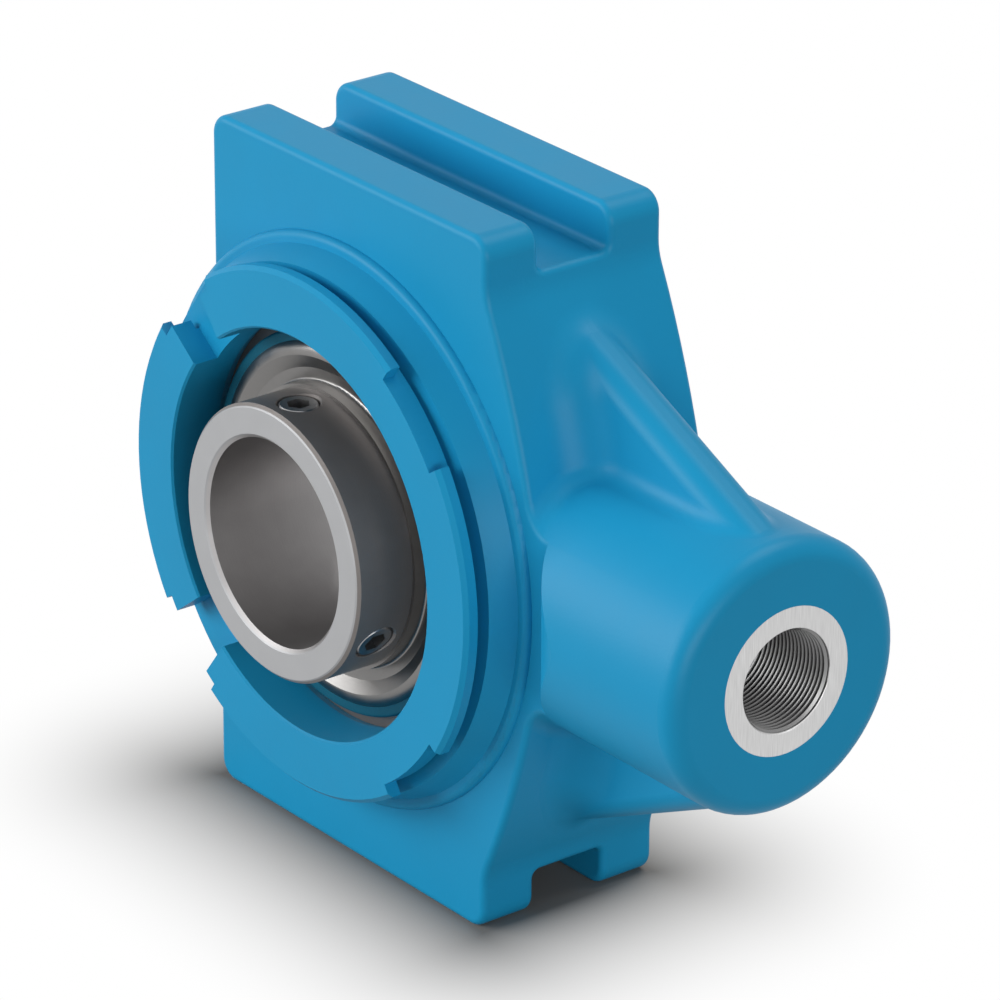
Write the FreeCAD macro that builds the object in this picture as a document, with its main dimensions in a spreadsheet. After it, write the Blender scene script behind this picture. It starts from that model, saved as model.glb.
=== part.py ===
import FreeCAD, Part
import math
import os

import Sketcher

# Take-up bearing unit: a moulded slider housing that carries a self-aligning insert bearing.
# Frame: +X towards the adjusting screw's boss, -Y out of the collar (front), +Z up.
# The origin lies on the shaft's axis, in the middle plane of the two guide slots.

# Driving dimensions in millimetres and degrees, written once and read by every piece.
SIZES = {
    # Rolling bearing
    "bore_diameter": 30.0,
    "bearing_offset": 5.63,
    "inner_ring_wall": 4.85,
    "ball_diameter": 9.525,
    "ball_count": 9,
    "race_shoulder": 1.6125,
    "race_conformity": 0.52,
    "race_play": 0.02,
    "inner_ring_width": 38.1,
    "clamp_side": 22.2,
    "ring_chamfer": 0.6,
    "outer_ring_width": 18.0,
    "outer_ring_wall": 3.2375,
    "seal_recess_step": 1.5,
    "seal_recess_depth": 2.3,
    "seal_thickness": 1.9,
    "seal_lip_gap": 0.1,
    "cage_section": 4.8,
    "cage_play": 0.7,
    "cage_horn": 3.6,
    "horn_gap_half_angle": 8.0,
    "horn_gap_depth": 2.8,
    "pocket_play": 0.12,
    "flinger_sheet": 0.5,
    "flinger_gap": 0.35,
    "flinger_web": 1.5,
    "flinger_neck": 2.1,
    "flinger_neck_round": 0.4,
    "flinger_step_height": 2.41,
    "flinger_step_rise": 0.28,
    "flinger_crest_height": 4.44,
    "flinger_crest_width": 0.25,
    "flinger_crest_rise": 1.15,
    "flinger_shoulder_rise": 0.44,
    "flinger_shoulder_round": 2.2,
    "flinger_rim_height": 6.19,
    "lip_height": 1.6,
    "lip_width": 1.9,
    "lip_round": 0.5,
    "screw_diameter": 6.0,
    "screw_play": 0.04,
    "screw_bevel": 0.75,
    "screw_from_face": 5.0,
    "screw_inset": 0.25,
    "screw_angle": 120.0,
    "screw_hexagon": 3.0,
    "screw_socket_share": 0.55,
    "screw_mouth_bevel": 0.3,
    # Housing
    "seat_play": 0.05,
    "seat_lip": 1.75,
    "plate_thickness": 30.0,
    "plate_height": 102.0,
    "plate_left": 30.6,
    "plate_right": 30.9,
    "plate_corner": 3.0,
    "slot_width": 12.0,
    "slot_spacing": 89.0,
    "edge_round": 1.0,
    "slot_root_round": 1.2,
    "flare_top": 42.6,
    "flare_end": 41.5,
    "flare_half_height": 11.5,
    "flare_radius": 140.0,
    "flare_blend": 8.0,
    "boss_diameter": 39.0,
    "boss_start": 44.5,
    "boss_end": 75.7,
    "boss_ramp": 6.5,
    "boss_ramp_round": 8.0,
    "boss_round": 2.8,
    "boss_root_round": 3.0,
    "core_overlap": 4.0,
    "rib_thickness": 7.0,
    "rib_round": 3.0,
    "rib_root_round": 6.5,
    "rib_root_overlap": 3.0,
    "rib_tip_inset": 3.2,
    "rib_tip_drop": 0.6,
    "rib_slope": 0.465,
    "barrel_wall": 6.7,
    "collar_face": 23.56,
    "lug_thickness": 2.0,
    "lug_height": 8.7,
    "lug_chamfer": 0.6,
    "neck_height": 6.7,
    "neck_groove_height": 5.3,
    "neck_groove_width": 0.8,
    "neck_base_thickness": 4.5,
    "neck_base_taper": 1.8,
    "collar_foot_thickness": 1.0,
    "collar_foot_width": 1.7,
    "collar_inner_round": 0.3,
    "notch_angle": 45.0,
    "notch_half_angle": 11.4,
    "gap_half_angle": 7.75,
    "gap_depth": 3.85,
    "loading_slot_play": 0.2,
    # Threaded insert
    "insert_diameter": 21.0,
    "insert_length": 28.0,
    "thread_diameter": 13.9,
    "thread_mouth": 14.9,
    "drill_point_share": 0.6,
    "insert_groove_depth": 1.2,
    "insert_groove_width": 4.0,
}

# How far a cutting outline runs past the solid that it cuts.
OVERRUN = 1.0

SHEET = "Sizes"


class Size:
    """A number together with the spreadsheet expression that gives it."""

    def __init__(self, value, text):
        self.value = value
        self.text = text

    @staticmethod
    def of(number):
        return number if isinstance(number, Size) else Size(float(number), repr(float(number)))

    def joined(self, other, sign, value):
        return Size(value, "({} {} {})".format(self.text, sign, other.text))

    def __add__(self, other):
        other = Size.of(other)
        return self.joined(other, "+", self.value + other.value)

    def __radd__(self, other):
        return Size.of(other) + self

    def __sub__(self, other):
        other = Size.of(other)
        return self.joined(other, "-", self.value - other.value)

    def __rsub__(self, other):
        return Size.of(other) - self

    def __mul__(self, other):
        other = Size.of(other)
        return self.joined(other, "*", self.value * other.value)

    def __rmul__(self, other):
        return Size.of(other) * self

    def __truediv__(self, other):
        other = Size.of(other)
        return self.joined(other, "/", self.value / other.value)

    def __neg__(self):
        return Size(-self.value, "(0 - {})".format(self.text))


def root(size):
    return Size(math.sqrt(size.value), "sqrt({})".format(size.text))


def sine(size):
    return Size(math.sin(math.radians(size.value)), "sin({} * 1 deg)".format(size.text))


def cosine(size):
    return Size(math.cos(math.radians(size.value)), "cos({} * 1 deg)".format(size.text))


def size(name):
    """The named cell of the spreadsheet."""
    return Size(float(SIZES[name]), "{}.{}".format(SHEET, name))


# Sizes that follow from the driving ones.
BALL_R = size("ball_diameter") / 2
CENTRE = -size("bearing_offset")
BORE_R = size("bore_diameter") / 2
RACE_R = size("ball_diameter") * size("race_conformity")
INNER_R = BORE_R + size("inner_ring_wall")
PITCH_R = INNER_R + BALL_R - size("race_shoulder")
LAND_R = PITCH_R + BALL_R - size("race_shoulder")
OUTER_R = PITCH_R + BALL_R + size("outer_ring_wall")
RECESS_R = LAND_R + size("seal_recess_step")
SEAT_R = OUTER_R + size("seat_play")
COLLAR_R = SEAT_R - size("seat_lip")
PLATE_Y = size("plate_thickness") / 2
BOSS_R = size("boss_diameter") / 2
INSERT_R = size("insert_diameter") / 2
RIB_ROOT_X = size("plate_right") - size("rib_root_overlap")
RIB_TIP_X = size("boss_end") - size("rib_tip_inset")
RIB_TIP_Z = BOSS_R - size("rib_tip_drop")
SCREW_Y = CENTRE - size("clamp_side") + size("screw_from_face")
SEAL_Y = size("outer_ring_width") / 2 - size("seal_recess_depth")
RIM_R = INNER_R + size("flinger_rim_height")
RIM_Y = size("outer_ring_width") / 2 + size("flinger_gap")


def make_sheet(doc):
    sheet = doc.addObject("Spreadsheet::Sheet", SHEET)
    for row, (name, value) in enumerate(SIZES.items(), start=1):
        sheet.set("A{}".format(row), name)
        sheet.set("B{}".format(row), repr(float(value)))
        sheet.setAlias("B{}".format(row), name)
    doc.recompute()
    return sheet


def bind(thing, **sizes):
    """Ties properties of an object to expressions on the spreadsheet."""
    for name, value in sizes.items():
        setattr(thing, name, value.value)
        thing.setExpression(name, value.text)


def make_body(doc, name):
    body = doc.addObject("PartDesign::Body", name)
    body.Label = name
    return body


def origin_plane(body, role):
    return next(item for item in body.Origin.OriginFeatures if item.Role == role)


def new_sketch(body, name, plane, offset=None, turn=None):
    """A sketch on one of the body's own origin planes, lifted and turned by named sizes."""
    sketch = body.newObject("Sketcher::SketchObject", name)
    sketch.AttachmentSupport = [(origin_plane(body, plane), "")]
    sketch.MapMode = "FlatFace"
    lift = offset.value if offset else 0.0
    angle = turn.value if turn else 0.0
    rotation = FreeCAD.Rotation(FreeCAD.Vector(0, 0, 1), angle)
    sketch.AttachmentOffset = FreeCAD.Placement(FreeCAD.Vector(0, 0, lift), rotation)
    if offset:
        sketch.setExpression(".AttachmentOffset.Base.z", offset.text)
    if turn:
        sketch.setExpression(".AttachmentOffset.Rotation.Angle", turn.text)
    return sketch


def pin_point(sketch, geo, end, x, y):
    """Holds a point of the sketch at (x, y) from its origin, by named distances."""
    for kind, place in (("DistanceX", x), ("DistanceY", y)):
        place = Size.of(place)
        index = sketch.addConstraint(Sketcher.Constraint(kind, -1, 1, geo, end, place.value))
        sketch.setExpression("Constraints[{}]".format(index), place.text)


def vector(x, y):
    return FreeCAD.Vector(Size.of(x).value, Size.of(y).value, 0)


def arc_through(start, end, radius):
    """The shorter arc from start to end; a positive radius bulges to the right of the way."""
    chord = end - start
    half = chord.Length / 2
    side = FreeCAD.Vector(-chord.y, chord.x, 0).normalize()
    reach = math.sqrt(radius * radius - half * half)
    centre = (start + end) / 2 + side * math.copysign(reach, radius)
    middle = centre - side * radius
    return Part.Arc(start, middle, end) if radius > 0 else Part.Arc(end, middle, start)


def outline(sketch, corners):
    """
    A closed outline. Each corner is (x, y) or (x, y, radius), where the radius bends the edge
    that leaves it.
    """
    count = len(corners)
    points = [vector(corner[0], corner[1]) for corner in corners]
    starts = []
    for i, corner in enumerate(corners):
        start = points[i]
        end = points[(i + 1) % count]
        if len(corner) == 2:
            geo = sketch.addGeometry(Part.LineSegment(start, end), False)
            starts.append((geo, 1, 2))
        else:
            radius = Size.of(corner[2])
            geo = sketch.addGeometry(arc_through(start, end, radius.value), False)
            # An arc's first point is the one from which it runs counter-clockwise.
            forward = radius.value > 0
            starts.append((geo, 1, 2) if forward else (geo, 2, 1))
            index = sketch.addConstraint(Sketcher.Constraint("Radius", geo, abs(radius.value)))
            sketch.setExpression("Constraints[{}]".format(index), "abs({})".format(radius.text))
    for i, corner in enumerate(corners):
        geo, first, _ = starts[i]
        before, _, last = starts[i - 1]
        sketch.addConstraint(Sketcher.Constraint("Coincident", before, last, geo, first))
        pin_point(sketch, geo, first, corner[0], corner[1])


def revolve(body, name, corners, axis="V_Axis", cut=False):
    """A turned form: the outline lies in the XY plane and runs round the Y axis (or X)."""
    sketch = new_sketch(body, name + "_profile", "XY_Plane")
    outline(sketch, corners)
    kind = "PartDesign::Groove" if cut else "PartDesign::Revolution"
    turned = body.newObject(kind, name)
    turned.Profile = sketch
    turned.ReferenceAxis = (sketch, [axis])
    turned.Angle = 360
    return turned


def pad(body, name, sketch, length, midplane=False, back=False):
    feature = body.newObject("PartDesign::Pad", name)
    feature.Profile = sketch
    bind(feature, Length=length)
    feature.Midplane = midplane
    feature.Reversed = back
    return feature


def pocket(body, name, sketch, length=None, midplane=False, back=False):
    feature = body.newObject("PartDesign::Pocket", name)
    feature.Profile = sketch
    if length is None:
        feature.Type = "ThroughAll"
    else:
        bind(feature, Length=length)
    feature.Midplane = midplane
    feature.Reversed = back
    return feature


def pattern(body, name, features, count, angle):
    """Copies of features round the shaft's axis."""
    copies = body.newObject("PartDesign::PolarPattern", name)
    copies.Originals = features
    copies.Axis = (origin_plane(body, "Y_Axis"), [""])
    bind(copies, Angle=angle)
    copies.Occurrences = count
    body.Tip = copies
    return copies


def edges(shape, test, only=None):
    """The names of the edges whose sampled points all pass the test, and that pass only."""
    names = []
    for number, edge in enumerate(shape.Edges, start=1):
        points = edge.discretize(Number=5)
        if all(test(point) for point in points) and (only is None or only(edge)):
            names.append("Edge{}".format(number))
    return names


def across_wall(edge):
    """Leaves out the long edges of a rib, which run away from the wall."""
    centre = edge.CenterOfMass
    middle = (size("plate_right") + size("boss_start")).value / 2
    return abs(centre.z) > RIB_TIP_Z.value and centre.x < middle


def not_boss_foot(edge):
    """Leaves out the upright edges where the boss stands out of the plate's faces."""
    return not near(edge.BoundBox.XMin, size("boss_start").value)


def fillet(body, name, radius, test, only=None):
    """Rounds every edge of the body, as far as it is built, that passes the tests."""
    body.Document.recompute()
    base = body.Tip
    names = edges(base.Shape, test, only)
    feature = body.newObject("PartDesign::Fillet", name)
    feature.Base = (base, names)
    bind(feature, Radius=radius)
    return feature


def near(a, b, tolerance=0.02):
    return abs(a - b) < tolerance


def make_housing(doc):
    """The moulded slider housing: slotted plate, barrel with snap collar, ribs and boss."""
    body = make_body(doc, "housing")
    make_plate(body)
    make_ribs(body)
    make_boss(body)
    blend_ribs_and_boss(body)
    cut_slots(body)
    round_plate_edges(body)
    slope_boss_foot(body)
    make_barrel(body)
    cut_collar(body)
    cut_seat(body)
    cut_insert_seat(body)
    return body


def make_plate(body):
    """The plate, whose right side flares out towards the boss."""
    half = size("plate_height") / 2
    left = -size("plate_left")
    right = size("plate_right")
    top = size("flare_top")
    neck_x = size("flare_end")
    neck_z = size("flare_half_height")
    bend = size("flare_radius")
    sketch = new_sketch(body, "plate_outline", "XZ_Plane")
    outline(sketch, [
        (left, -half),
        (right, -half),
        (right, -top, bend),
        (neck_x, -neck_z),
        (neck_x, neck_z, bend),
        (right, top),
        (right, half),
        (left, half),
    ])
    pad(body, "plate", sketch, size("plate_thickness"), midplane=True)
    fillet(body, "plate_corners", size("plate_corner"),
           lambda p: near(abs(p.z), half.value) and (near(p.x, left.value) or near(p.x, right.value)))
    fillet(body, "flare_blend", size("flare_blend"),
           lambda p: near(abs(p.z), top.value) and near(p.x, right.value))


def make_ribs(body):
    """The ribs that run from the plate down to the boss, above and below it."""
    sketch = new_sketch(body, "rib_outline", "XZ_Plane")
    outline(sketch, [
        (RIB_ROOT_X, -rib_height(RIB_ROOT_X)),
        (RIB_TIP_X, -RIB_TIP_Z),
        (RIB_TIP_X, RIB_TIP_Z),
        (RIB_ROOT_X, rib_height(RIB_ROOT_X)),
    ])
    pad(body, "ribs", sketch, size("rib_thickness"), midplane=True)


def rib_height(x):
    """The height of the rib's sloping top at x."""
    return RIB_TIP_Z + (RIB_TIP_X - x) * size("rib_slope")


def make_boss(body):
    """The boss that holds the threaded insert; its core joins it to the plate's side."""
    start = size("boss_start")
    end = size("boss_end")
    bend = size("boss_round")
    flat_z = root(BOSS_R * BOSS_R - PLATE_Y * PLATE_Y)
    core_start = size("flare_end") - size("core_overlap")
    sketch = new_sketch(body, "core_section", "YZ_Plane", offset=core_start)
    outline(sketch, [
        (PLATE_Y, -flat_z),
        (PLATE_Y, flat_z, BOSS_R),
        (-PLATE_Y, flat_z),
        (-PLATE_Y, -flat_z, BOSS_R),
    ])
    pad(body, "boss_core", sketch, start + size("core_overlap") - core_start)
    revolve(body, "boss", [
        (start, 0),
        (end, 0),
        (end, BOSS_R - bend, bend),
        (end - bend, BOSS_R),
        (start, BOSS_R),
    ], axis="H_Axis")


def blend_ribs_and_boss(body):
    """The large soft blends where ribs, boss and plate run into each other."""
    side = size("rib_thickness").value / 2
    start = size("boss_start").value
    right = size("plate_right").value

    def along_top(p):
        on_top = near(abs(p.z), rib_height(Size.of(p.x)).value)
        return on_top and near(abs(p.y), side) and p.x > right

    fillet(body, "rib_tops", size("rib_round"), along_top)

    def at_wall(p):
        on_rib = abs(p.y) < side + 0.01 and right < p.x < size("flare_end").value
        return on_rib and math.hypot(p.y, p.z) > BOSS_R.value - 0.03

    fillet(body, "rib_roots", size("rib_root_round"), at_wall, only=across_wall)

    def on_boss(p):
        on_skin = near(math.hypot(p.y, p.z), BOSS_R.value)
        clear = abs(p.y) < PLATE_Y.value - 0.01 or p.x < size("flare_end").value
        beside_rib = abs(p.z) > BOSS_R.value / 2 and p.x < RIB_TIP_X.value - 0.2
        return on_skin and clear and beside_rib

    fillet(body, "boss_roots", size("boss_root_round"), on_boss)


def cut_slots(body):
    """One guide slot along the top edge, mirrored to the bottom edge."""
    top = size("plate_height") / 2 + OVERRUN
    wall = size("slot_width") / 2
    floor = size("slot_spacing") / 2
    bend = size("slot_root_round")
    sketch = new_sketch(body, "slot_section", "YZ_Plane")
    outline(sketch, [
        (-wall, top),
        (-wall, floor + bend, bend),
        (bend - wall, floor),
        (wall - bend, floor, bend),
        (wall, floor + bend),
        (wall, top),
    ])
    length = (size("plate_left") + size("plate_right")) * 2
    slot = pocket(body, "guide_slot", sketch, length, midplane=True)
    mirrored = body.newObject("PartDesign::Mirrored", "guide_slots")
    mirrored.Originals = [slot]
    mirrored.MirrorPlane = (origin_plane(body, "XY_Plane"), [""])
    body.Tip = mirrored


def round_plate_edges(body):
    """A small round on every outer edge of the plate and on the mouths of its slots."""
    wall = size("slot_width").value / 2
    floor = size("slot_spacing").value / 2
    seam = floor + size("slot_root_round").value
    left = -size("plate_left").value
    right = size("plate_right").value

    def on_rim(p):
        if near(abs(p.y), PLATE_Y.value):
            return p.x < size("boss_start").value + 0.01
        if near(abs(p.y), wall) and abs(p.z) > floor - 0.02:
            return not near(abs(p.z), seam)
        at_end = near(p.x, left) or near(p.x, right)
        return at_end and abs(p.y) < wall and abs(p.z) > floor - 0.02

    fillet(body, "plate_edges", size("edge_round"), on_rim, only=not_boss_foot)


def slope_boss_foot(body):
    """The slope by which the boss rises out of the plate's front and back faces."""
    start = size("boss_start")
    end = start + size("boss_ramp")
    outside = -BOSS_R - OVERRUN
    sketch = new_sketch(body, "boss_foot", "XY_Plane")
    outline(sketch, [
        (start, outside),
        (end, outside),
        (end, -BOSS_R, -size("boss_ramp_round")),
        (start, -PLATE_Y),
    ])
    cut = pocket(body, "boss_slope", sketch, BOSS_R * 2, midplane=True)
    mirrored = body.newObject("PartDesign::Mirrored", "boss_slopes")
    mirrored.Originals = [cut]
    mirrored.MirrorPlane = (origin_plane(body, "XZ_Plane"), [""])
    body.Tip = mirrored


def make_barrel(body):
    """The barrel round the bearing and the stepped collar in front of the plate."""
    face = -size("collar_face")
    foot = size("collar_foot_thickness")
    base_r = SEAT_R + size("barrel_wall")
    foot_r = base_r + size("neck_base_taper")
    barrel_r = foot_r + size("collar_foot_width")
    lug_r = COLLAR_R + size("lug_height")
    neck_r = COLLAR_R + size("neck_height")
    groove_r = COLLAR_R + size("neck_groove_height")
    bevel = size("lug_chamfer")
    round_r = size("edge_round")
    base_y = -PLATE_Y - size("neck_base_thickness")
    groove_y = base_y - size("neck_groove_width")
    revolve(body, "barrel", [
        (0, face),
        (lug_r - bevel, face),
        (lug_r, face + bevel),
        (lug_r, face + size("lug_thickness")),
        (neck_r, face + size("lug_thickness")),
        (neck_r, groove_y),
        (groove_r, groove_y),
        (groove_r, base_y),
        (base_r, base_y),
        (foot_r, -PLATE_Y - foot),
        (barrel_r - foot, -PLATE_Y - foot, foot),
        (barrel_r, -PLATE_Y),
        (barrel_r, PLATE_Y - round_r, round_r),
        (barrel_r - round_r, PLATE_Y),
        (0, PLATE_Y),
    ])


def sector(sketch, inner, outer, half_angle):
    """An outline between two radii, the same angle to each side of the sketch's X axis."""
    outline(sketch, [
        (inner * cosine(half_angle), -(inner * sine(half_angle))),
        (outer * cosine(half_angle), -(outer * sine(half_angle)), outer),
        (outer * cosine(half_angle), outer * sine(half_angle)),
        (inner * cosine(half_angle), inner * sine(half_angle), -inner),
    ])


def cut_collar(body):
    """Four notches in the collar's lug ring, two of them going on through its wall."""
    face = size("collar_face")
    angle = size("notch_angle")
    outside = COLLAR_R + size("lug_height") + OVERRUN
    sketch = new_sketch(body, "notch_outline", "XZ_Plane", offset=face, turn=angle)
    sector(sketch, COLLAR_R + size("neck_height"), outside, size("notch_half_angle"))
    notch = pocket(body, "notch", sketch, size("lug_thickness"))
    pattern(body, "notches", [notch], 4, Size.of(360))
    sketch = new_sketch(body, "gap_outline", "XZ_Plane", offset=face, turn=5 * angle)
    sector(sketch, COLLAR_R - size("barrel_wall"), outside, size("gap_half_angle"))
    gap = pocket(body, "gap", sketch, size("gap_depth"))
    pattern(body, "gaps", [gap], 2, 2 * angle)


def cut_seat(body):
    """The spherical seat, the collar's bore, and the loading slots at the back."""
    rise = root(SEAT_R * SEAT_R - COLLAR_R * COLLAR_R)
    face = -size("collar_face")
    bevel = size("collar_inner_round")
    revolve(body, "seat", [
        (0, face - OVERRUN),
        (COLLAR_R + bevel + OVERRUN, face - OVERRUN),
        (COLLAR_R, face + bevel),
        (COLLAR_R, CENTRE - rise, SEAT_R),
        (COLLAR_R, CENTRE + rise),
        (COLLAR_R, PLATE_Y + OVERRUN),
        (0, PLATE_Y + OVERRUN),
    ], cut=True)
    reach = SEAT_R + size("loading_slot_play")
    sketch = new_sketch(body, "loading_slot_section", "YZ_Plane")
    outline(sketch, [
        (CENTRE, -reach),
        (PLATE_Y + OVERRUN, -reach),
        (PLATE_Y + OVERRUN, reach),
        (CENTRE, reach),
    ])
    width = size("outer_ring_width") + size("loading_slot_play") * 2
    pocket(body, "loading_slots", sketch, width, midplane=True)


def insert_outside():
    """The insert's outside, from its closed inner end to its flush outer end."""
    end = size("boss_end")
    start = end - size("insert_length")
    wide = size("insert_groove_width")
    low = INSERT_R - size("insert_groove_depth")
    first = start + wide
    second = first + wide * 2
    return [
        (start, 0),
        (end, 0),
        (end, INSERT_R),
        (second + wide, INSERT_R),
        (second + wide, low),
        (second, low),
        (second, INSERT_R),
        (first + wide, INSERT_R),
        (first + wide, low),
        (first, low),
        (first, INSERT_R),
        (start, INSERT_R),
    ]


def cut_insert_seat(body):
    """The plastic flows round the insert, so the seat is the insert's own outline."""
    revolve(body, "insert_seat", insert_outside(), axis="H_Axis", cut=True)


def make_insert(doc):
    """A steel insert with a blind threaded hole, held by the grooves in its outside."""
    body = make_body(doc, "threaded_insert")
    revolve(body, "insert_body", insert_outside(), axis="H_Axis")
    end = size("boss_end")
    bore = size("thread_diameter") / 2
    mouth = size("thread_mouth") / 2
    bottom = end - size("insert_length") + size("insert_groove_width")
    revolve(body, "threaded_hole", [
        (bottom - bore * size("drill_point_share"), 0),
        (end + OVERRUN, 0),
        (end + OVERRUN, mouth + OVERRUN),
        (end - mouth + bore, bore),
        (bottom, bore),
    ], axis="H_Axis", cut=True)
    return body


def make_inner_ring(doc):
    """The inner ring: bore, raceway, long clamping side and its two screw holes."""
    body = make_body(doc, "inner_ring")
    front = CENTRE - size("clamp_side")
    back = front + size("inner_ring_width")
    bevel = size("ring_chamfer")
    race_centre = PITCH_R - BALL_R - size("race_play") + RACE_R
    half_race = root(RACE_R * RACE_R - (race_centre - INNER_R) * (race_centre - INNER_R))
    revolve(body, "ring", [
        (BORE_R, front + bevel),
        (BORE_R + bevel, front),
        (INNER_R - bevel, front),
        (INNER_R, front + bevel),
        (INNER_R, CENTRE - half_race, -RACE_R),
        (INNER_R, CENTRE + half_race),
        (INNER_R, back - bevel),
        (INNER_R - bevel, back),
        (BORE_R + bevel, back),
        (BORE_R, back - bevel),
    ])
    radius = size("screw_diameter") / 2
    bevel = size("screw_mouth_bevel")
    hole = body.newObject("PartDesign::SubtractiveCylinder", "screw_hole")
    bind(hole, Radius=radius, Height=INNER_R + OVERRUN)
    place(hole, y=SCREW_Y)
    mouth = body.newObject("PartDesign::SubtractiveCone", "screw_hole_mouth")
    bind(mouth, Radius1=radius, Radius2=radius + bevel + OVERRUN, Height=bevel + OVERRUN)
    place(mouth, y=SCREW_Y, z=INNER_R - bevel)
    pattern(body, "screw_holes", [hole, mouth], 2, size("screw_angle"))
    return body


def make_outer_ring(doc):
    """The outer ring: spherical outside, raceway, and a recess for each seal."""
    body = make_body(doc, "outer_ring")
    half = size("outer_ring_width") / 2
    edge_r = root(OUTER_R * OUTER_R - half * half)
    step = half - size("seal_recess_depth")
    race_centre = PITCH_R + BALL_R + size("race_play") - RACE_R
    half_race = root(RACE_R * RACE_R - (LAND_R - race_centre) * (LAND_R - race_centre))
    revolve(body, "ring", [
        (RECESS_R, CENTRE - half),
        (edge_r, CENTRE - half, OUTER_R),
        (edge_r, CENTRE + half),
        (RECESS_R, CENTRE + half),
        (RECESS_R, CENTRE + step),
        (LAND_R, CENTRE + step),
        (LAND_R, CENTRE + half_race, -RACE_R),
        (LAND_R, CENTRE - half_race),
        (LAND_R, CENTRE - step),
        (RECESS_R, CENTRE - step),
    ])
    return body


def on_side(corners, side):
    """Sets an outline in front of the bearing's middle (side -1) or behind it (side 1)."""
    return [(r, CENTRE + side * y, *(side * bend for bend in bends)) for r, y, *bends in corners]


def make_seal(doc, name, side):
    """A seal washer pressed into the outer ring's recess."""
    body = make_body(doc, name)
    inner = SEAL_Y
    outer = inner + size("seal_thickness")
    middle = inner + size("seal_thickness") / 2
    lip = INNER_R + size("seal_lip_gap")
    shoulder = lip + size("seal_thickness") / 2
    revolve(body, name + "_washer", on_side([
        (lip, inner),
        (RECESS_R, inner),
        (RECESS_R, outer),
        (shoulder, outer),
        (shoulder, middle),
        (lip, middle),
    ], side))
    return body


def make_flinger(doc, name, side):
    """
    A pressed steel flinger: its neck holds it on the inner ring, its web rises to a crest, and
    its rounded shoulder turns back over the seal.
    """
    body = make_body(doc, name)
    sheet = size("flinger_sheet")
    neck_r = INNER_R + sheet
    bend = size("flinger_neck_round")
    web = RIM_Y + size("flinger_web")
    neck = web + size("flinger_neck")
    step_r = INNER_R + size("flinger_step_height")
    step = web + size("flinger_step_rise")
    crest_in = INNER_R + size("flinger_crest_height") - size("flinger_crest_width") / 2
    crest_out = crest_in + size("flinger_crest_width")
    crest = web + size("flinger_crest_rise")
    shoulder = web + size("flinger_shoulder_rise")
    arch = size("flinger_shoulder_round")
    revolve(body, name + "_sheet", on_side([
        (INNER_R, web - sheet),
        (step_r, step - sheet),
        (crest_in, crest - sheet),
        (crest_out, crest - sheet, -arch),
        (RIM_R - sheet, shoulder - sheet / 2),
        (RIM_R - sheet, RIM_Y),
        (RIM_R, RIM_Y),
        (RIM_R, shoulder, arch),
        (crest_out, crest),
        (crest_in, crest),
        (step_r, step),
        (neck_r + bend, web, -bend),
        (neck_r, web + bend),
        (neck_r, neck),
        (INNER_R, neck),
    ], side))
    return body


def make_flinger_lip(doc, name, side):
    """The rubber lip bonded round a flinger's rim; it runs close over the outer ring's face."""
    body = make_body(doc, name)
    outer = RIM_R + size("lip_height")
    top = RIM_Y + size("lip_width")
    bend = size("lip_round")
    revolve(body, name + "_bead", on_side([
        (RIM_R, RIM_Y),
        (outer, RIM_Y),
        (outer, top - bend, bend),
        (outer - bend, top),
        (RIM_R, top),
    ], side))
    return body


def make_cage(doc):
    """The snap cage: a ring behind the balls, and a pair of horns round each ball."""
    body = make_body(doc, "ball_cage")
    inner = PITCH_R - size("cage_section") / 2
    outer = PITCH_R + size("cage_section") / 2
    front = CENTRE - size("cage_horn")
    back = CENTRE + SEAL_Y - size("cage_play")
    revolve(body, "cage_ring", [(inner, front), (outer, front), (outer, back), (inner, back)])
    half_pitch = Size.of(180) / size("ball_count")
    sketch = new_sketch(body, "horn_gap_outline", "XZ_Plane", offset=-front, turn=half_pitch)
    sector(sketch, inner - OVERRUN, outer + OVERRUN, size("horn_gap_half_angle"))
    gap = pocket(body, "horn_gap", sketch, size("horn_gap_depth"))
    pattern(body, "horn_gaps", [gap], int(SIZES["ball_count"]), Size.of(360))
    for number in range(int(SIZES["ball_count"])):
        ball = body.newObject("PartDesign::SubtractiveSphere", "ball_pocket_{}".format(number + 1))
        bind(ball, Radius=BALL_R + size("pocket_play"))
        place_on_pitch_circle(ball, number)
    return body


def place_on_pitch_circle(thing, number):
    """Puts a ball, or its pocket, at its share of the turn round the pitch circle."""
    turn = Size.of(360 * number) / size("ball_count")
    place(thing, x=PITCH_R * cosine(turn), y=CENTRE, z=-(PITCH_R * sine(turn)),
          axis=FreeCAD.Vector(0, 1, 0), turn=turn)


def make_balls(doc):
    """The balls, evenly spaced on the pitch circle."""
    balls = []
    count = int(SIZES["ball_count"])
    for number in range(count):
        ball = doc.addObject("Part::Sphere", "ball_{}".format(number + 1))
        ball.Label = ball.Name
        bind(ball, Radius=BALL_R)
        place_on_pitch_circle(ball, number)
        balls.append(ball)
    return balls


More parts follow.
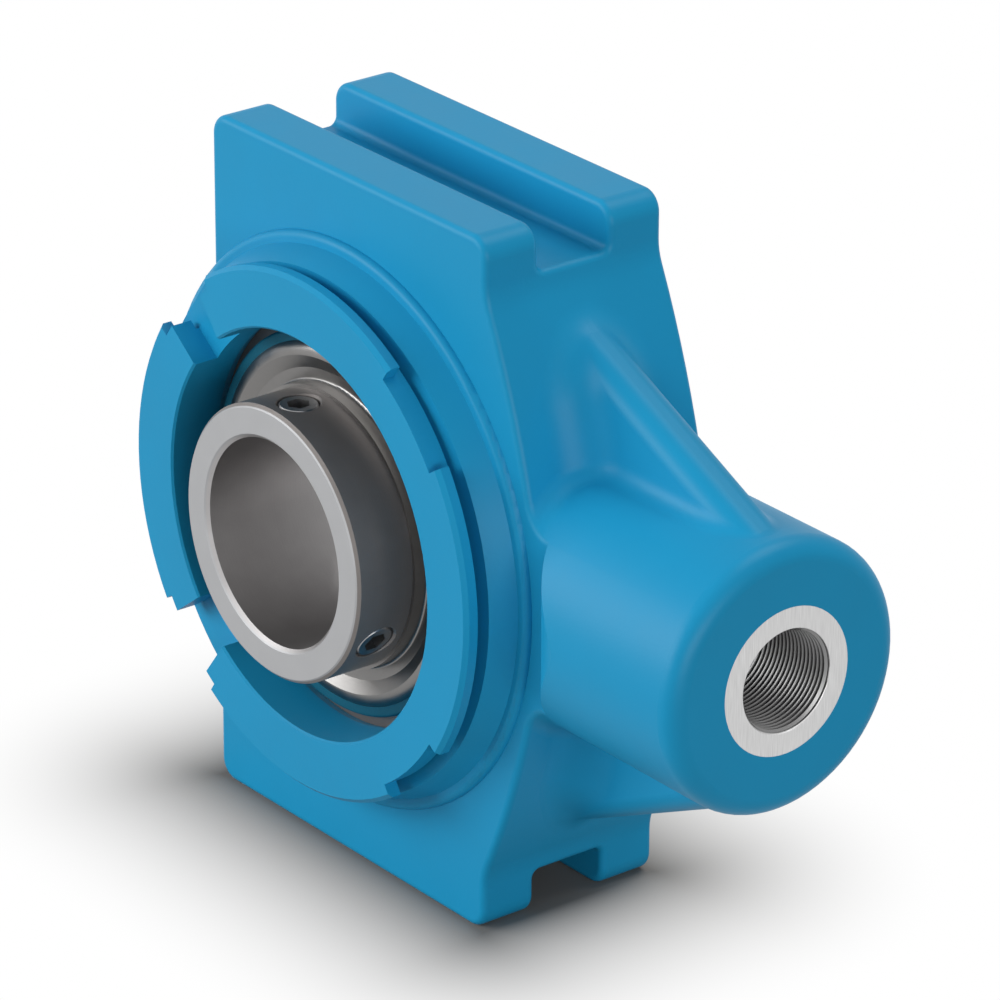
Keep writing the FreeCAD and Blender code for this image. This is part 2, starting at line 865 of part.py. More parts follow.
def make_screw(doc, name, axis, turn):
    """A cup-point grub screw; its own X axis points outwards through the ring's wall."""
    body = make_body(doc, name)
    tip = BORE_R + size("screw_inset") / 2
    head = INNER_R - size("screw_inset")
    radius = size("screw_diameter") / 2 - size("screw_play")
    bevel = size("screw_bevel")
    revolve(body, name + "_shank", [
        (tip + bevel / 2, 0),
        (head, 0),
        (head, radius - bevel / 2),
        (head - bevel / 2, radius),
        (tip + bevel, radius),
        (tip, radius - bevel),
    ], axis="H_Axis")
    sketch = new_sketch(body, name + "_socket_outline", "YZ_Plane", offset=head)
    across = size("screw_hexagon") / 2
    corner_r = across / cosine(Size.of(30))
    outline(sketch, [(corner_r * cosine(Size.of(60 * k)), corner_r * sine(Size.of(60 * k)))
                     for k in range(6)])
    pocket(body, name + "_socket", sketch, (head - tip) * size("screw_socket_share"))
    place(body, y=SCREW_Y, axis=axis, turn=turn)
    return body


def place(thing, x=None, y=None, z=None, axis=None, turn=None):
    """Puts an object at named coordinates, turned about an axis by a named angle."""
    at = FreeCAD.Vector(*(item.value if item else 0.0 for item in (x, y, z)))
    axis = axis or FreeCAD.Vector(0, 0, 1)
    thing.Placement = FreeCAD.Placement(at, FreeCAD.Rotation(axis, turn.value if turn else 0.0))
    for letter, item in (("x", x), ("y", y), ("z", z)):
        if item:
            thing.setExpression("Placement.Base." + letter, item.text)
    if turn:
        thing.setExpression("Placement.Rotation.Angle", turn.text)


def check(doc, pieces):
    """Stops if any object failed or any piece has no sound shape."""
    for item in doc.Objects:
        if {"Invalid", "Error"} & set(item.State):
            raise RuntimeError("{} failed: {}".format(item.Name, item.State))
    for piece in pieces:
        if piece.Shape.isNull() or not piece.Shape.isValid():
            raise RuntimeError("{} has no sound shape".format(piece.Label))
        if len(piece.Shape.Solids) != 1:
            raise RuntimeError("{} is not one solid".format(piece.Label))


def main():
    doc = FreeCAD.newDocument("take_up_bearing_unit")
    make_sheet(doc)
    up = FreeCAD.Vector(0, -1, 0)
    down = FreeCAD.Vector(0, 1, 0)
    pieces = [
        make_housing(doc),
        make_insert(doc),
        make_outer_ring(doc),
        make_inner_ring(doc),
        make_seal(doc, "front_seal", -1),
        make_seal(doc, "rear_seal", 1),
        make_flinger(doc, "front_flinger", -1),
        make_flinger(doc, "rear_flinger", 1),
        make_flinger_lip(doc, "front_flinger_lip", -1),
        make_flinger_lip(doc, "rear_flinger_lip", 1),
        make_cage(doc),
        make_screw(doc, "grub_screw_top", up, Size.of(90)),
        make_screw(doc, "grub_screw_side", down, size("screw_angle") - 90),
    ]
    pieces += make_balls(doc)
    doc.recompute()
    check(doc, pieces)
    os.makedirs("parts", exist_ok=True)
    for piece in pieces:
        piece.Shape.exportStep(os.path.join("parts", piece.Label + ".step"))


main()
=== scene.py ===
import math

import bpy
import numpy as np
from mathutils import Matrix, Vector


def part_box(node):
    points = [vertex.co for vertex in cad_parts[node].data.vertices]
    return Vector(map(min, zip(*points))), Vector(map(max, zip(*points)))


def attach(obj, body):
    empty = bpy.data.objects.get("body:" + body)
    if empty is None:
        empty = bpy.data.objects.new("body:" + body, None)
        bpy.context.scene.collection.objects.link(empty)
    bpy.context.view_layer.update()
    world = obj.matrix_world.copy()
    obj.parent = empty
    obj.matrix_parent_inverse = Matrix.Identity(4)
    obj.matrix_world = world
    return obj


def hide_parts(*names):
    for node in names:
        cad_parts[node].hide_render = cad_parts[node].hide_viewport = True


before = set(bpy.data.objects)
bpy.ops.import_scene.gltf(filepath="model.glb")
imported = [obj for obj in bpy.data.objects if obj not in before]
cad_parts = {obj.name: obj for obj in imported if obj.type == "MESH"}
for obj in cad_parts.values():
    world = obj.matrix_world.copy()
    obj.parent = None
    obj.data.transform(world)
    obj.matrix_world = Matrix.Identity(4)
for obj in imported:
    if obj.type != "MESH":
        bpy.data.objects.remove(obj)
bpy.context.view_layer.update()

bl_info = {
    "name": "Take-up bearing unit",
    "version": (1, 0, 0),
    "blender": (4, 5, 0),
    "location": "3D View > Sidebar > Take-up unit",
    "description": "Finishes, screw threads and a studio for the take-up bearing unit",
    "category": "Add Mesh",
}

MM = 0.001
FULL_TURN = 2 * math.pi

# Places read from the frame, in metres: the shaft runs along Y, the boss along X.
RING_LOW, RING_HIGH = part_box("inner_ring")
RING_RADIUS = (RING_HIGH.x - RING_LOW.x) / 2
INSERT_LOW, INSERT_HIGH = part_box("threaded_insert")
INSERT_RADIUS = (INSERT_HIGH.z - INSERT_LOW.z) / 2
BALLS = [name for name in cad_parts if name.startswith("ball_") and name != "ball_cage"]

# The foot of the housing's plate, which stands on the floor: its span along X and along Y.
PLATE_LENGTH = (-30.6 * MM, 30.9 * MM)
PLATE_WIDTH = (-15.0 * MM, 15.0 * MM)
# The floor lies just under the housing, and reaches this far to each side.
FLOOR_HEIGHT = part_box("housing")[0].z - 0.02 * MM
FLOOR_REACH = 4.0

# Each lamp's name, its place and size in metres and its power in watts.
LAMPS = (
    ("key_lamp", (0.15, 0.55, 1.30), (0.8, 0.8), 9.5),
    ("front_lamp", (-0.65, -1.10, 0.42), (1.4, 0.7), 17.0),
    ("side_lamp", (1.30, -0.45, 0.22), (1.0, 0.4), 8.0),
)
CAMERA_SENSOR = 36
CAMERA_CLIP = (0.05, 20)

# The thread's form, as shares of its pitch: its depth, and where the flat crest, the first
# flank and the flat root end.
THREAD_DEPTH = 0.54127
CREST_END = 0.25
FLANK_END = 0.5625
ROOT_END = 0.6875
# The drill point's depth as a share of its radius.
DRILL_POINT = 0.6
# Points round a full turn of the insert.
COLUMNS = 144

# In a new mesh, the angle past which an edge is sharp and the distance at which points are one.
SHARP_ANGLE = math.radians(30)
SAME_POINT = 1e-4 * MM


# Sizes and colours that a user would change

class HousingLook(bpy.types.PropertyGroup):
    """The moulded plastic of the slider housing."""

    colour: bpy.props.FloatVectorProperty(
        name="Plastic", description="Colour of the moulded housing",
        default=(0.010, 0.285, 0.530), subtype="COLOR", min=0, max=1)
    gloss: bpy.props.FloatProperty(
        name="Roughness", description="Roughness of the moulded surface",
        default=0.42, subtype="FACTOR", min=0, max=1)
    grain: bpy.props.FloatProperty(
        name="Grain", description="Width of the mould's fine grain",
        default=0.45 * MM, unit="LENGTH")


class BearingLook(bpy.types.PropertyGroup):
    """The steels, plastics and rubber of the insert bearing."""

    face_colour: bpy.props.FloatVectorProperty(
        name="Ground face", description="Colour of the inner ring's ground end faces",
        default=(0.362, 0.366, 0.375), subtype="COLOR", min=0, max=1)
    bore_colour: bpy.props.FloatVectorProperty(
        name="Bore", description="Colour of the inner ring's bore",
        default=(0.38, 0.37, 0.37), subtype="COLOR", min=0, max=1)
    side_colour: bpy.props.FloatVectorProperty(
        name="Ring sides", description="Colour of the rings' outsides",
        default=(0.19, 0.174, 0.166), subtype="COLOR", min=0, max=1)
    flinger_colour: bpy.props.FloatVectorProperty(
        name="Flinger", description="Colour of the pressed steel flingers",
        default=(0.21, 0.205, 0.20), subtype="COLOR", min=0, max=1)
    rubber_colour: bpy.props.FloatVectorProperty(
        name="Rubber", description="Colour of the seals and the flingers' lips",
        default=(0.006, 0.10, 0.16), subtype="COLOR", min=0, max=1)
    cage_colour: bpy.props.FloatVectorProperty(
        name="Cage", description="Colour of the moulded ball cage",
        default=(0.62, 0.55, 0.40), subtype="COLOR", min=0, max=1)
    ball_colour: bpy.props.FloatVectorProperty(
        name="Balls", description="Colour of the polished balls",
        default=(0.70, 0.70, 0.72), subtype="COLOR", min=0, max=1)
    screw_colour: bpy.props.FloatVectorProperty(
        name="Grub screws", description="Colour of the quenched grub screws",
        default=(0.30, 0.30, 0.305), subtype="COLOR", min=0, max=1)
    turning: bpy.props.FloatProperty(
        name="Turning marks", description="Distance between turning marks on the steel",
        default=0.09 * MM, unit="LENGTH")


class InsertSizes(bpy.types.PropertyGroup):
    """The steel insert in the boss and its thread."""

    crest_radius: bpy.props.FloatProperty(
        name="Crest radius", description="Radius of the hole at the thread's crests",
        default=6.95 * MM, unit="LENGTH")
    pitch: bpy.props.FloatProperty(
        name="Pitch", description="Advance of the thread in one turn",
        default=0.75 * MM, unit="LENGTH")
    mouth_radius: bpy.props.FloatProperty(
        name="Mouth radius", description="Radius of the bevelled mouth of the hole",
        default=7.45 * MM, unit="LENGTH")
    hole_end: bpy.props.FloatProperty(
        name="Closed end", description="Steel left behind the hole's full thread",
        default=4.0 * MM, unit="LENGTH")
    groove_width: bpy.props.FloatProperty(
        name="Groove width", description="Width of the grooves that hold the insert",
        default=4.0 * MM, unit="LENGTH")
    groove_depth: bpy.props.FloatProperty(
        name="Groove depth", description="Depth of the grooves that hold the insert",
        default=1.2 * MM, unit="LENGTH")
    colour: bpy.props.FloatVectorProperty(
        name="Steel", description="Colour of the insert's steel",
        default=(0.62, 0.62, 0.62), subtype="COLOR", min=0, max=1)


class StudioLook(bpy.types.PropertyGroup):
    """Floor, lamps and camera."""

    # Painted shade: the floor's grey shows only near the plate's foot, where it darkens the
    # shade; it also dims the light the floor throws back.
    floor_and_shade_colour: bpy.props.FloatVectorProperty(
        name="Floor", description="Colour of the floor",
        default=(0.273, 0.255, 0.237), subtype="COLOR", min=0, max=1)
    # Painted shade: the width of the shade painted round the plate's foot, past which the floor
    # is painted white.
    pool: bpy.props.FloatProperty(
        name="Shade width", description="Distance from the plate's foot where the floor is white",
        default=42 * MM, unit="LENGTH")
    sky: bpy.props.FloatProperty(
        name="Sky", description="Level of the light from all round", default=0.15, min=0)
    azimuth: bpy.props.FloatProperty(
        name="Azimuth", description="Camera's turn from the front towards the boss",
        default=math.radians(51.839), subtype="ANGLE")
    elevation: bpy.props.FloatProperty(
        name="Elevation", description="Camera's height above the horizon",
        default=math.radians(24.046), subtype="ANGLE")
    roll: bpy.props.FloatProperty(
        name="Roll", description="Camera's turn about its own line of sight",
        default=math.radians(0.244), subtype="ANGLE")
    distance: bpy.props.FloatProperty(
        name="Distance", description="Camera's distance from the shaft's axis",
        default=852.469 * MM, unit="LENGTH")
    aside: bpy.props.FloatProperty(
        name="Aside", description="Camera's offset to its own right",
        default=9.389 * MM, unit="LENGTH")
    lift: bpy.props.FloatProperty(
        name="Lift", description="Camera's offset upwards in its own picture",
        default=-0.842 * MM, unit="LENGTH")
    focal: bpy.props.FloatProperty(
        name="Focal length", description="Focal length in millimetres on a 36 mm sensor",
        default=220.87)


# Surfaces

def make_piece(name, points, faces, body):
    """A mesh object from arrays of points and faces, riding on a body of the frame."""
    mesh = bpy.data.meshes.new(name)
    mesh.from_pydata(points.tolist(), [], faces)
    mesh.update()
    mesh.validate()
    mesh.shade_smooth()
    mesh.set_sharp_from_angle(angle=SHARP_ANGLE)
    piece = bpy.data.objects.new(name, mesh)
    bpy.context.scene.collection.objects.link(piece)
    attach(piece, body)
    return piece


def thread_form(pitch):
    """
    One pitch of a thread as (place along the axis, depth): a flat crest a quarter of the pitch
    wide, a straight flank, a flat root an eighth wide and the other flank.
    """
    depth = THREAD_DEPTH * pitch
    places = np.array([0.0, CREST_END, FLANK_END, ROOT_END]) * pitch
    return places, np.array([0.0, 0.0, depth, depth])


def helix_wall(start, end, crest, pitch, mouth):
    """
    The wall of a hole's right-hand thread as grids of (place, angle, radius). Row j starts at
    its place in the thread's form, and its place grows by one pitch in a full turn of the
    angle, so a row follows the helix. Places are held between start and end. The radius is the
    crest's plus the form's depth, or the cone's of the bevelled mouth where that is wider.
    """
    places, depths = thread_form(pitch)
    turns = int(math.ceil((end - start) / pitch)) + 1
    rows = (np.arange(-1, turns)[:, None] * pitch + places).ravel()
    depth = np.tile(depths, turns + 1)
    angle = np.linspace(0, FULL_TURN, COLUMNS + 1)
    place = start + rows[:, None] + pitch * angle / FULL_TURN
    radius = np.where(place <= start, crest, crest + depth[:, None])
    place = np.clip(place, start, end)
    radius = np.maximum(radius, mouth - (end - place))
    radius = np.where(place >= end, mouth, radius)
    return place, np.broadcast_to(angle, place.shape), radius


def ring_rows(profile):
    """Rings round an axis, one for each (place, radius) of the profile, as grids."""
    profile = np.array(profile, float)
    angle = np.linspace(0, FULL_TURN, COLUMNS + 1)
    place = np.repeat(profile[:, :1], COLUMNS + 1, axis=1)
    radius = np.repeat(profile[:, 1:], COLUMNS + 1, axis=1)
    return place, np.broadcast_to(angle, place.shape), radius


def close_grids(grids):
    """
    Joins grids of (place, angle, radius) end to end into one skin. A point is its place along X
    and its radius turned by its angle from Y to Z. Points that fall together are one point, so
    a four-sided face may lose one corner, and one that loses more is left out.
    """
    place, angle, radius = (np.concatenate(part) for part in zip(*grids))
    points = np.stack([place, radius * np.cos(angle), radius * np.sin(angle)], axis=-1)
    rows, columns = place.shape
    flat = np.round(points.reshape(-1, 3) / SAME_POINT).astype(np.int64)
    _, first, index = np.unique(flat, axis=0, return_index=True, return_inverse=True)
    index = index.reshape(rows, columns)
    quads = np.stack([index[:-1, :-1], index[1:, :-1], index[1:, 1:], index[:-1, 1:]], axis=-1)
    quads = quads.reshape(-1, 4)
    kept = quads != np.roll(quads, 1, axis=1)
    three = kept.sum(axis=1) == 3
    triangles = quads[three][kept[three]].reshape(-1, 3)
    faces = quads[kept.all(axis=1)].tolist() + triangles.tolist()
    return points.reshape(-1, 3)[first], faces


def insert_outside(sizes):
    """
    The insert's outside as (place, radius), from the middle of its closed end to the mouth of
    its hole: two grooves as wide as the land before each of them.
    """
    start, end, wide = INSERT_LOW.x, INSERT_HIGH.x, sizes.groove_width
    low = INSERT_RADIUS - sizes.groove_depth
    profile = [(start, 0), (start, INSERT_RADIUS)]
    for groove in (start + wide, start + 3 * wide):
        profile += [(groove, INSERT_RADIUS), (groove, low)]
        profile += [(groove + wide, low), (groove + wide, INSERT_RADIUS)]
    return profile + [(end, INSERT_RADIUS), (end, sizes.mouth_radius)]


def insert_thread(sizes):
    """The thread's wall from the hole's mouth inwards, as grids."""
    start = INSERT_LOW.x + sizes.hole_end
    wall = helix_wall(start, INSERT_HIGH.x, sizes.crest_radius, sizes.pitch, sizes.mouth_radius)
    return tuple(part[::-1] for part in wall)


def insert_drill_point(sizes):
    """The cone that the drill leaves at the hole's end, as (place, radius)."""
    start = INSERT_LOW.x + sizes.hole_end
    return [(start, sizes.crest_radius), (start - DRILL_POINT * sizes.crest_radius, 0)]


# Materials

class Value:
    """A number that varies over a surface; arithmetic on it adds Math nodes."""

    def __init__(self, nodes, socket):
        self.nodes = nodes
        self.socket = socket

    def math(self, operation, first, second=0.0, clamp=False):
        settings = {"operation": operation, "use_clamp": clamp}
        node = self.nodes.add("ShaderNodeMath", settings, {0: first, 1: second})
        return Value(self.nodes, node.outputs[0])

    def __add__(self, other):
        return self.math("ADD", self, other)

    __radd__ = __add__

    def __sub__(self, other):
        return self.math("SUBTRACT", self, other)

    def __rsub__(self, other):
        return self.math("SUBTRACT", other, self)

    def __mul__(self, other):
        return self.math("MULTIPLY", self, other)

    __rmul__ = __mul__

    def __truediv__(self, other):
        return self.math("DIVIDE", self, other)

    def __pow__(self, other):
        return self.math("POWER", self, other)

    def larger(self, other):
        return self.math("MAXIMUM", self, other)

    def smaller(self, other):
        return self.math("MINIMUM", self, other)

    def past(self, edge, width):
        """0 below the edge and 1 above it, with a soft step of that width."""
        return self.math("ADD", (self - edge) / width, 0.5, clamp=True)


class Nodes:
    """A node tree and the calls that fill it."""

    def __init__(self, tree):
        self.tree = tree

    def find(self, kind):
        return next(node for node in self.tree.nodes if node.type == kind)

    def add(self, kind, settings=None, sockets=None):
        """A node of that type, with its settings and then its sockets' values or links."""
        node = self.tree.nodes.new(kind)
        for name, value in (settings or {}).items():
            setattr(node, name, value)
        for name, value in (sockets or {}).items():
            self.feed(node.inputs[name], value)
        return node

    def feed(self, socket, value):
        if isinstance(value, Value):
            self.tree.links.new(value.socket, socket)
        elif isinstance(value, bpy.types.NodeSocket):
            self.tree.links.new(value, socket)
        else:
            socket.default_value = value

    def place(self):
        """The point's own coordinates in metres, as a vector socket and its three parts."""
        node = self.add("ShaderNodeTexCoord")
        parts = self.add("ShaderNodeSeparateXYZ", None, {0: node.outputs["Object"]})
        return node.outputs["Object"], [Value(self, out) for out in parts.outputs]

    def noise(self, vector, width, detail=3.0, stretch=(1, 1, 1)):
        """Soft noise whose spots are about that wide, drawn out by a stretch along each axis."""
        scale = tuple(1 / (width * s) for s in stretch)
        spread = self.add("ShaderNodeMapping", None, {"Vector": vector, "Scale": scale})
        sockets = {"Vector": spread.outputs[0], "Scale": 1.0, "Detail": detail}
        return Value(self, self.add("ShaderNodeTexNoise", None, sockets).outputs["Fac"])

    def lines(self, across, width):
        """Random fine lines about that wide, along whatever the coordinate doesn't change."""
        sockets = {"W": across / width, "Scale": 1.0, "Detail": 3.0}
        node = self.add("ShaderNodeTexNoise", {"noise_dimensions": "1D"}, sockets)
        return Value(self, node.outputs["Fac"])

    def level(self, colour, amount):
        """A colour made lighter or darker by a number."""
        settings = {"operation": "SCALE"}
        return self.add("ShaderNodeVectorMath", settings, {0: colour, "Scale": amount}).outputs[0]

    def blend(self, amount, first, second):
        """A colour between two others."""
        settings = {"data_type": "RGBA"}
        node = self.add("ShaderNodeMix", settings, {0: amount, 6: first, 7: second})
        return node.outputs[2]

    def bump(self, height, depth):
        """The normal of a surface that the height lifts by up to that depth."""
        sockets = {"Height": height, "Distance": depth, "Strength": 1.0}
        return self.add("ShaderNodeBump", None, sockets).outputs[0]


class Finish(Nodes):
    """A material, its Principled shader and the nodes that feed it."""

    def __init__(self, name, **constants):
        self.material = bpy.data.materials.new(name)
        self.material.use_nodes = True
        super().__init__(self.material.node_tree)
        self.shader = self.find("BSDF_PRINCIPLED")
        self.set(**constants)

    def set(self, **inputs):
        for name, value in inputs.items():
            self.feed(self.shader.inputs[name.replace("_", " ")], value)
        return self


def solid(colour):
    """A colour with full cover as its fourth channel."""
    return tuple(colour) + (1.0,)


def housing_plastic(look):
    """Moulded plastic: fine grain, faint flow marks and a soft gloss."""
    finish = Finish("housing_plastic", Specular_IOR_Level=0.15)
    vector, _ = finish.place()
    flow = finish.noise(vector, 14 * MM)
    grain = finish.noise(vector, look.grain, detail=2.0)
    return finish.set(
        Base_Color=finish.level(look.colour, 0.95 + flow * 0.1),
        Roughness=look.gloss - 0.05 + flow * 0.10,
        Normal=finish.bump(grain, 0.012 * MM),
    )


def ring_steel(look):
    """Ground bearing steel: bright end faces, and darker turned sides, bevels and bore."""
    finish = Finish("ring_steel")
    vector, (x, y, z) = finish.place()
    radius = (x * x + z * z) ** 0.5
    bevel, edge, wall = 0.2 * MM, 0.1 * MM, 2 * MM
    front = 1 - y.past(RING_LOW.y + bevel, edge / 2)
    back = y.past(RING_HIGH.y - bevel, edge / 2)
    face = front.larger(back) * (1 - radius.past(RING_RADIUS + bevel, edge))
    outside = radius.past(RING_RADIUS - wall, edge)
    rings = finish.lines(radius + y, look.turning)
    cloud = finish.noise(vector, 3 * MM)
    marks = rings * 0.6 + cloud * 0.4
    side = finish.blend(outside, solid(look.bore_colour), solid(look.side_colour))
    colour = finish.blend(face, side, solid(look.face_colour))
    return finish.set(
        Base_Color=finish.level(colour, 1 + (marks - 0.5) * (0.4 - face * 0.28)),
        Metallic=1 - outside * (1 - face) * 0.5,
        Roughness=0.34 + marks * 0.12 + face * 0.06,
        Normal=finish.bump(rings, 0.003 * MM),
    )


def flinger_steel(look):
    """Pressed stainless sheet with faint rings from the spinning tool."""
    finish = Finish("flinger_steel", Metallic=1.0)
    vector, (x, _, z) = finish.place()
    radius = (x * x + z * z) ** 0.5
    rings = finish.lines(radius, look.turning * 2)
    cloud = finish.noise(vector, 2.5 * MM)
    return finish.set(
        Base_Color=finish.level(look.flinger_colour, 0.9 + cloud * 0.2),
        Roughness=0.26 + cloud * 0.14,
        Normal=finish.bump(rings, 0.003 * MM),
    )


def seal_rubber(look):
    """Moulded rubber with a dull, slightly uneven skin."""
    finish = Finish("seal_rubber", Specular_IOR_Level=0.15)
    vector, _ = finish.place()
    skin = finish.noise(vector, 0.35 * MM)
    return finish.set(
        Base_Color=finish.level(look.rubber_colour, 0.85 + skin * 0.3),
        Roughness=0.50 + skin * 0.15,
        Normal=finish.bump(skin, 0.01 * MM),
    )


def cage_plastic(look):
    """Natural nylon with a waxy, slightly mottled skin."""
    finish = Finish("cage_plastic", Subsurface_Weight=0.1)
    vector, _ = finish.place()
    mottle = finish.noise(vector, 1.5 * MM)
    return finish.set(
        Base_Color=finish.level(look.cage_colour, 0.92 + mottle * 0.14),
        Roughness=0.42 + mottle * 0.12,
        Normal=finish.bump(mottle, 0.01 * MM),
    )


def ball_steel(look):
    """Polished balls with a trace of lapping marks."""
    finish = Finish("ball_steel", Metallic=1.0)
    vector, _ = finish.place()
    haze = finish.noise(vector, 0.8 * MM, detail=2.0)
    return finish.set(
        Base_Color=finish.level(look.ball_colour, 0.94 + haze * 0.12),
        Roughness=0.06 + haze * 0.05,
        Normal=finish.bump(haze, 0.0005 * MM),
    )


def insert_steel(sizes):
    """Turned steel with a face brushed straight up and down, and painted shade that darkens the
    threaded hole.
    """
    finish = Finish("insert_steel", Metallic=1.0)
    vector, (x, y, z) = finish.place()
    radius = (y * y + z * z) ** 0.5
    bevel, edge, rim = 0.15 * MM, 0.1 * MM, 1.0 * MM
    # Painted shade: inside the hole, past the face's bevel and within the rim, the steel is
    # painted darker.
    deep = 1 - x.past(INSERT_HIGH.x - bevel, edge)
    hole = deep * (1 - radius.past(INSERT_RADIUS - rim, edge))
    brushed = finish.noise(vector, 0.10 * MM, stretch=(1, 1, 40))
    return finish.set(
        Base_Color=finish.level(sizes.colour, (0.65 + brushed * 0.6) * (1 - hole * 0.63)),
        Roughness=0.34 + brushed * 0.12,
        Normal=finish.bump(brushed, 0.004 * MM),
    )


def screw_steel(look):
    """Dark quenched steel with a thin oil film."""
    finish = Finish("screw_steel", Metallic=1.0)
    vector, _ = finish.place()
    scale = finish.noise(vector, 0.5 * MM)
    return finish.set(
        Base_Color=finish.level(look.screw_colour, 0.76 + scale * 0.48),
        Roughness=0.28 + scale * 0.16,
        Normal=finish.bump(scale, 0.003 * MM),
    )


def dress(node, finish):
    """Gives a node of the frame its finish."""
    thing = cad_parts[node]
    for slot in thing.material_slots:
        slot.material = finish.material


# Operators

class TAKEUP_OT_housing(bpy.types.Operator):
    """Finish the moulded slider housing"""

    bl_idname = "takeup.housing"
    bl_label = "Housing"

    def execute(self, context):
        dress("housing", housing_plastic(context.scene.takeup_housing))
        return {"FINISHED"}


class TAKEUP_OT_bearing(bpy.types.Operator):
    """Finish the rings, balls, cage, seals and flingers of the insert bearing"""

    bl_idname = "takeup.bearing"
    bl_label = "Insert bearing"

    def execute(self, context):
        look = context.scene.takeup_bearing
        for make_finish, nodes in (
            (ring_steel, ["outer_ring", "inner_ring"]),
            (flinger_steel, ["front_flinger", "rear_flinger"]),
            (seal_rubber, ["front_seal", "rear_seal", "front_flinger_lip", "rear_flinger_lip"]),
            (cage_plastic, ["ball_cage"]),
            (ball_steel, BALLS),
            (screw_steel, ["grub_screw_top", "grub_screw_side"]),
        ):
            finish = make_finish(look)
            for node in nodes:
                dress(node, finish)
        return {"FINISHED"}


class TAKEUP_OT_insert(bpy.types.Operator):
    """Make the steel insert with its threaded hole"""

    bl_idname = "takeup.insert"
    bl_label = "Threaded insert"

    def execute(self, context):
        sizes = context.scene.takeup_insert
        points, faces = close_grids([
            ring_rows(insert_outside(sizes)),
            insert_thread(sizes),
            ring_rows(insert_drill_point(sizes)),
        ])
        piece = make_piece("insert_with_thread", points, faces, "housing_body")
        piece.data.materials.append(insert_steel(sizes).material)
        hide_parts("threaded_insert")
        return {"FINISHED"}


class TAKEUP_OT_studio(bpy.types.Operator):
    """Make the floor, the lamps and the camera"""

    bl_idname = "takeup.studio"
    bl_label = "Studio"

    def execute(self, context):
        look = context.scene.takeup_studio
        make_floor(look)
        make_sky(context.scene, look)
        for name, place, size, power in LAMPS:
            make_lamp(name, Vector(place), size, power)
        make_camera(context.scene, look)
        context.scene.view_settings.view_transform = "Standard"
        return {"FINISHED"}


def seen(nodes):
    """1 where the camera, a reflection or a view through glass meets the surface."""
    path = nodes.add("ShaderNodeLightPath")
    rays = [Value(nodes, path.outputs["Is {} Ray".format(kind)])
            for kind in ("Camera", "Glossy", "Transmission")]
    return rays[0].larger(rays[1]).larger(rays[2])


def beyond(value, span):
    """How far a coordinate lies outside a span."""
    low, high = span
    return (low - value).larger(value - high).larger(0.0)


def floor_with_painted_shade(look):
    """
    Paint with a painted shade at the plate's foot, where the floor's grey shows with its shading,
    and white round it.
    With a as the distance from the foot over the shade's width, and at most 1, the share of white
    is a times 2 less a.
    """
    finish = Finish("floor_with_painted_shade", Base_Color=solid(look.floor_and_shade_colour), Roughness=0.9,
                    Specular_IOR_Level=0.0)
    _, (x, y, _) = finish.place()
    # Painted shade: the share of white grows with the distance from the plate's foot, so the
    # floor is painted darker near the foot wherever the lamps fall.
    aside = beyond(x, PLATE_LENGTH)
    ahead = beyond(y, PLATE_WIDTH)
    away = ((aside * aside + ahead * ahead) ** 0.5 / look.pool).smaller(1.0)
    white = away * (2 - away)
    glow = finish.add("ShaderNodeEmission", None, {"Color": (1, 1, 1, 1), "Strength": 1.0})
    mix = finish.add("ShaderNodeMixShader", None, {
        0: seen(finish) * white, 1: finish.shader.outputs[0], 2: glow.outputs[0]})
    finish.feed(finish.find("OUTPUT_MATERIAL").inputs["Surface"], mix.outputs[0])
    return finish


def make_floor(look):
    """A wide floor just under the housing: a square about the origin at one height."""
    ends = ((-1, -1), (1, -1), (1, 1), (-1, 1))
    corners = [(FLOOR_REACH * x, FLOOR_REACH * y, FLOOR_HEIGHT) for x, y in ends]
    mesh = bpy.data.meshes.new("floor")
    mesh.from_pydata(corners, [], [(0, 1, 2, 3)])
    mesh.materials.append(floor_with_painted_shade(look).material)
    floor = bpy.data.objects.new("floor", mesh)
    bpy.context.scene.collection.objects.link(floor)


def make_sky(scene, look):
    """An even white surround, seen at full white and lighting at the sky's level."""
    world = bpy.data.worlds.new("studio")
    world.use_nodes = True
    scene.world = world
    nodes = Nodes(world.node_tree)
    back = nodes.find("BACKGROUND").inputs
    nodes.feed(back["Color"], solid((1, 1, 1)))
    nodes.feed(back["Strength"], seen(nodes) * (1 - look.sky) + look.sky)


def make_lamp(name, place, size, power):
    """A soft lamp of that width and height that faces the object."""
    light = bpy.data.lights.new(name, "AREA")
    light.shape = "RECTANGLE"
    light.size, light.size_y = size
    light.energy = power
    lamp = bpy.data.objects.new(name, light)
    turn = (-place).to_track_quat("-Z", "Y").to_matrix().to_4x4()
    lamp.matrix_world = Matrix.Translation(place) @ turn
    bpy.context.scene.collection.objects.link(lamp)


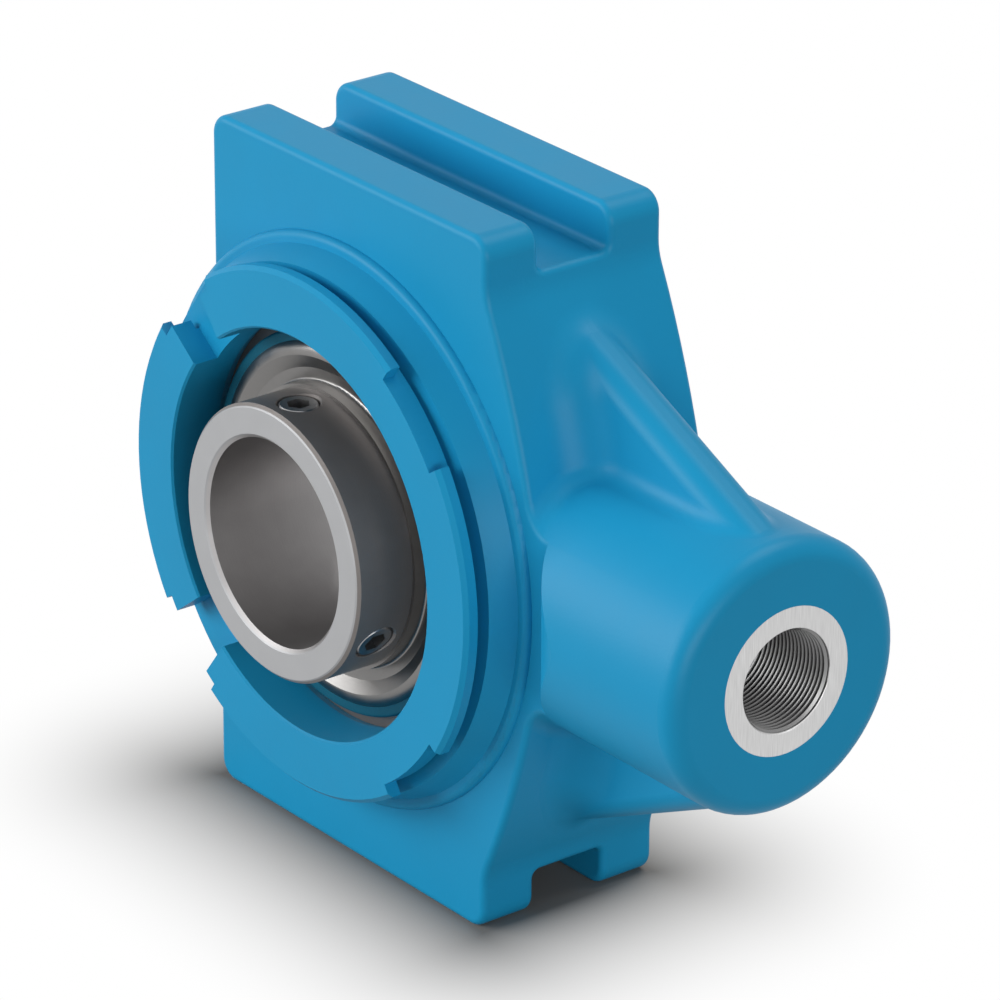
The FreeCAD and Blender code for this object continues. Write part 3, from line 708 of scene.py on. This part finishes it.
def make_camera(scene, look):
    """The camera, aimed by its azimuth, elevation and roll and set off in its own picture."""
    a, e, r = look.azimuth, look.elevation, look.roll
    back = Vector((math.sin(a) * math.cos(e), -math.cos(a) * math.cos(e), math.sin(e)))
    level = Vector((math.cos(a), math.sin(a), 0))
    upright = back.cross(level)
    right = level * math.cos(r) + upright * math.sin(r)
    up = upright * math.cos(r) - level * math.sin(r)
    camera = bpy.data.cameras.new("camera")
    camera.sensor_width = CAMERA_SENSOR
    camera.lens = look.focal
    camera.clip_start, camera.clip_end = CAMERA_CLIP
    rig = bpy.data.objects.new("camera", camera)
    scene.collection.objects.link(rig)
    turn = Matrix((right, up, back)).transposed().to_4x4()
    place = right * look.aside + up * look.lift + back * look.distance
    rig.matrix_world = Matrix.Translation(place) @ turn
    scene.camera = rig


class TAKEUP_PT_panel(bpy.types.Panel):
    """The unit's operators and their sizes"""

    bl_label = "Take-up unit"
    bl_idname = "TAKEUP_PT_panel"
    bl_space_type = "VIEW_3D"
    bl_region_type = "UI"
    bl_category = "Take-up unit"

    def draw(self, context):
        for operator, look in STEPS:
            box = self.layout.box()
            box.operator(operator.bl_idname)
            group = getattr(context.scene, look)
            for name in group.__annotations__:
                box.prop(group, name)


LOOKS = {
    "takeup_housing": HousingLook,
    "takeup_bearing": BearingLook,
    "takeup_insert": InsertSizes,
    "takeup_studio": StudioLook,
}
STEPS = (
    (TAKEUP_OT_housing, "takeup_housing"),
    (TAKEUP_OT_bearing, "takeup_bearing"),
    (TAKEUP_OT_insert, "takeup_insert"),
    (TAKEUP_OT_studio, "takeup_studio"),
)
CLASSES = tuple(LOOKS.values()) + tuple(step[0] for step in STEPS) + (TAKEUP_PT_panel,)


def register():
    for part in CLASSES:
        bpy.utils.register_class(part)
    for name, look in LOOKS.items():
        setattr(bpy.types.Scene, name, bpy.props.PointerProperty(type=look))


def unregister():
    for name in LOOKS:
        delattr(bpy.types.Scene, name)
    for part in reversed(CLASSES):
        bpy.utils.unregister_class(part)


def main():
    register()
    bpy.ops.takeup.housing()
    bpy.ops.takeup.bearing()
    bpy.ops.takeup.insert()
    bpy.ops.takeup.studio()


if __name__ == "__main__":
    main()
